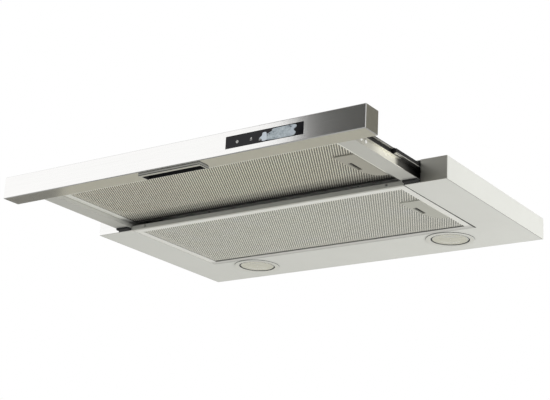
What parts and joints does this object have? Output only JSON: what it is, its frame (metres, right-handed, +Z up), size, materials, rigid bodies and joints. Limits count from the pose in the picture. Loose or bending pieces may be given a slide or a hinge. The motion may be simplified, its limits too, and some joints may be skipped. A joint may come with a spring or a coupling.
{
  "type": "pull out range hood",
  "caption": "Slim pull-out range hood: a fixed slab with grease filter and lamps, a drawer with its own filter, touch glass and grip on ball rails, and a low blower with a duct collar.",
  "frame": {"origin": "centre of the four cabinet screws, which is the centre of the slab's top face", "axes": "+X to the right seen from the front, the drawer comes out towards -Y, +Z up, along the cabinet screws"},
  "size_m": [0.598, 0.5102, 0.1482],
  "materials": {
    "painted_grey": "satin light grey powder coat",
    "galvanised": "dull galvanised sheet",
    "brushed_steel": "fine brushed stainless steel",
    "dark_sheet": "matte black coated sheet",
    "rail_steel": "black lacquered steel",
    "bright_steel": "plain bright steel",
    "filter_frame": "satin aluminium",
    "filter_mesh": "matte aluminium",
    "lamp_ring": "satin silver coating",
    "side_steel": "satin zinc plated steel",
    "lamp_glass": "frosted lens",
    "touch_glass": "glossy black panel",
    "black_plastic": "matte black plastic",
    "grey_plastic": "matte grey plastic",
    "board": "green circuit board",
    "rubber": "black rubber",
    "motor_steel": "laminated steel"
  },
  "bodies": {
    "hood": {"canopy_shell": "painted_grey", "bottom_plate": "painted_grey", "cross_rail": "painted_grey", "front_trim_left": "brushed_steel", "front_trim_right": "brushed_steel", "slide_brackets": "dark_sheet", "outer_rails": "rail_steel", "lamp_bezels": "lamp_ring", "lamp_lenses": "lamp_glass", "lamp_modules": "grey_plastic", "blower_casing": "galvanised", "casing_cover": "galvanised", "blower_screws": "bright_steel", "scroll_housing": "grey_plastic", "scroll_cover": "grey_plastic", "inlet_ring": "grey_plastic", "motor_housing": "galvanised", "motor_stator": "motor_steel", "motor_bearings": "bright_steel", "duct_collar": "black_plastic", "flap_pin": "bright_steel", "control_box": "grey_plastic", "control_lid": "grey_plastic", "mains_board": "board", "cable_gland": "black_plastic", "microswitch": "black_plastic", "cabinet_nuts": "bright_steel"},
    "drawer": {"inner_rails": "rail_steel", "drawer_side_left": "side_steel", "drawer_side_right": "side_steel", "drawer_front_strip": "brushed_steel", "drawer_top_panel": "galvanised", "drawer_rear_bar": "galvanised", "corner_brackets": "galvanised", "drawer_screws": "bright_steel", "fascia_panel": "brushed_steel", "fascia_back_plate": "galvanised", "fascia_bumpers": "rubber", "grip_insert": "black_plastic", "touch_glass": "touch_glass", "touch_holder": "black_plastic", "touch_board": "board"},
    "rail_left": {"middle_rail_left": "rail_steel"},
    "rail_right": {"middle_rail_right": "rail_steel"},
    "front_filter": {"front_filter_frame": "filter_frame", "front_filter_mesh": "filter_mesh", "front_catch_plate": "filter_mesh", "front_catch_spring": "bright_steel"},
    "front_catch": {"front_catch_slider": "black_plastic"},
    "rear_filter": {"rear_filter_frame": "filter_frame", "rear_filter_mesh": "filter_mesh", "rear_catch_plate": "filter_mesh", "rear_catch_spring": "bright_steel"},
    "rear_catch": {"rear_catch_slider": "black_plastic"},
    "fan": {"fan_wheel": "black_plastic", "motor_rotor": "motor_steel"},
    "front_flap": {"flap_front": "grey_plastic"},
    "rear_flap": {"flap_rear": "grey_plastic"},
    "drawer_switch": {"switch_lever": "bright_steel"}
  },
  "joints": [
    {"name": "drawer_slide", "type": "slide", "parent": "hood", "child": "drawer", "axis": [0, 1, 0], "range_m": [0, 0.174]},
    {"name": "rail_left_slide", "type": "slide", "parent": "hood", "child": "rail_left", "axis": [0, 1, 0], "range_m": [0, 0.087]},
    {"name": "rail_right_slide", "type": "slide", "parent": "hood", "child": "rail_right", "axis": [0, 1, 0], "range_m": [0, 0.087]},
    {"name": "front_filter_hinge", "type": "hinge", "parent": "drawer", "child": "front_filter", "pos_m": [-0.2339, -0.2335, -0.0218], "axis": [0, 1, 0], "range_deg": [0, 30]},
    {"name": "rear_filter_hinge", "type": "hinge", "parent": "hood", "child": "rear_filter", "pos_m": [-0.2339, -0.04575, -0.0316], "axis": [0, 1, 0], "range_deg": [0, 40]},
    {"name": "front_catch_slide", "type": "slide", "parent": "front_filter", "child": "front_catch", "axis": [-1, 0, 0], "range_m": [0, 0.0022], "stiffness_N_per_m": 400, "springref_m": -0.003, "deforming": ["front_catch_spring"]},
    {"name": "rear_catch_slide", "type": "slide", "parent": "rear_filter", "child": "rear_catch", "axis": [-1, 0, 0], "range_m": [0, 0.0022], "stiffness_N_per_m": 400, "springref_m": -0.003, "deforming": ["rear_catch_spring"]},
    {"name": "fan_spin", "type": "hinge", "parent": "hood", "child": "fan", "pos_m": [0.029, -0.0225, 0.03], "axis": [0, 0, 1], "continuous": true},
    {"name": "front_flap_hinge", "type": "hinge", "parent": "hood", "child": "front_flap", "pos_m": [0, 0.0625, 0.097], "axis": [-1, 0, 0], "range_deg": [0, 75]},
    {"name": "rear_flap_hinge", "type": "hinge", "parent": "hood", "child": "rear_flap", "pos_m": [0, 0.0625, 0.097], "axis": [1, 0, 0], "range_deg": [0, 75]},
    {"name": "drawer_switch_hinge", "type": "hinge", "parent": "hood", "child": "drawer_switch", "pos_m": [-0.226, 0.1017, -0.003], "axis": [1, 0, 0], "range_deg": [0, 12], "stiffness_Nm_per_rad": 0.02, "springref_deg": -5.73}
  ],
  "couplings": [
    {"joint": "rail_left_slide", "follows": "drawer_slide", "ratio": 0.5},
    {"joint": "rail_right_slide", "follows": "drawer_slide", "ratio": 0.5}
  ]
}
